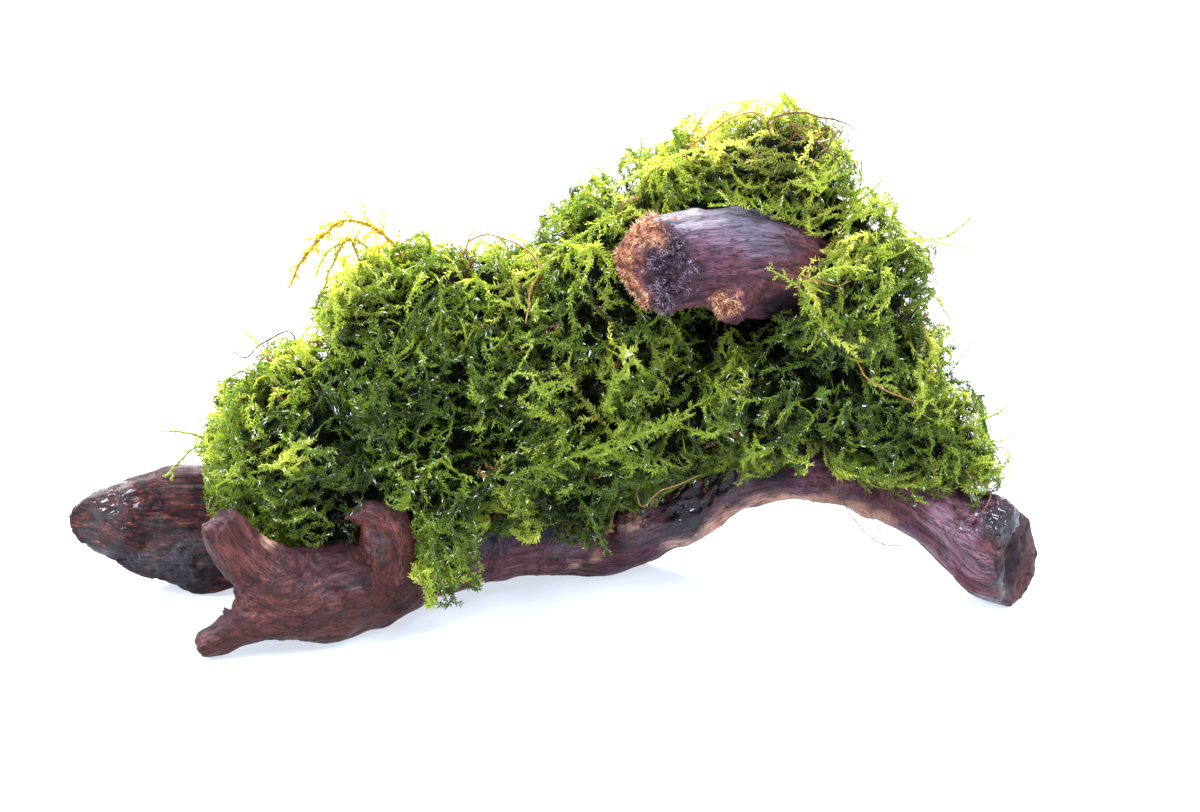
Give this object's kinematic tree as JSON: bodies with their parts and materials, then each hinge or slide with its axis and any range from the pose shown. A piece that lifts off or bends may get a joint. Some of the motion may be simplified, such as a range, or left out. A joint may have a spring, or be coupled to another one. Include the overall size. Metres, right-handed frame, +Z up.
{
  "type": "java moss on driftwood",
  "caption": "Low forked piece of wet driftwood with a bent upper limb, thickly overgrown with clumps of trailing java moss, resting on the undersides of its limbs.",
  "frame": {"origin": "centre of the footprint of the whole piece, on the surface that it rests on", "axes": "+X along the wood towards the arched right leg, +Y towards the rear, +Z up"},
  "size_m": [0.2062, 0.0656, 0.1064],
  "materials": {
    "driftwood": "wet, dark red-brown, smooth grain with a gloss",
    "java_moss": "wet leafy shoots, deep green inside and yellow-green at the tips"
  },
  "bodies": {
    "root": {"trunk": "driftwood", "right_leg": "driftwood", "upper_branch": "driftwood", "rear_branch": "driftwood", "front_branch": "driftwood", "front_upper_prong": "driftwood", "front_lower_prong": "driftwood", "moss_crown": "java_moss", "moss_left_mound": "java_moss", "moss_leg_skirt": "java_moss", "moss_front_tuft": "java_moss", "moss_middle_mound": "java_moss", "moss_saddle": "java_moss", "moss_right_mound": "java_moss", "moss_apron": "java_moss"}
  },
  "joints": []
}
